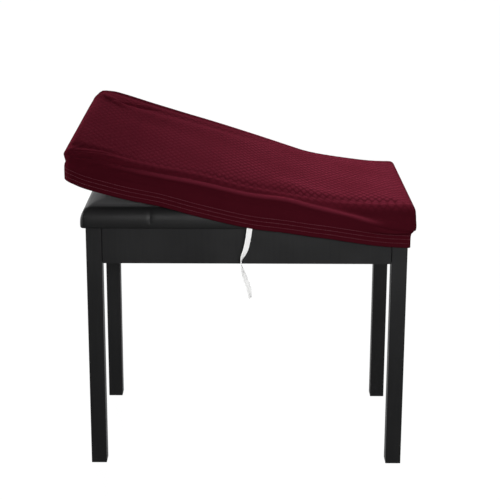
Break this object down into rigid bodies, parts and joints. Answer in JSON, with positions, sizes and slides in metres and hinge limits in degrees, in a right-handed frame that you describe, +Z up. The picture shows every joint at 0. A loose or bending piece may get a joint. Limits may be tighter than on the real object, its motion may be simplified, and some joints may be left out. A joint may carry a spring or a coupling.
{
  "type": "piano bench with stretch cover",
  "caption": "Piano bench with a padded seat and a burgundy stretch cover half drawn over it, fitted at the right end and lifted clear at the left.",
  "frame": {"origin": "on the floor, under the middle of the whole part's box", "axes": "+X to the bench's right end, where the cover is fitted; +Y to the back; +Z up"},
  "size_m": [0.6198, 0.3878, 0.6358],
  "materials": {
    "cover_cloth": "burgundy stretch jacquard knit, soft and matt",
    "white_elastic": "white woven elastic tape",
    "black_leather": "black imitation leather, fine grain, soft gloss",
    "black_wood": "black satin lacquer on wood"
  },
  "bodies": {
    "root": {"cover": "cover_cloth", "elastic_tape": "white_elastic", "seat_pad": "black_leather", "apron_front": "black_wood", "apron_back": "black_wood", "apron_left": "black_wood", "apron_right": "black_wood", "leg_front_left": "black_wood", "leg_front_right": "black_wood", "leg_back_left": "black_wood", "leg_back_right": "black_wood"}
  },
  "joints": []
}
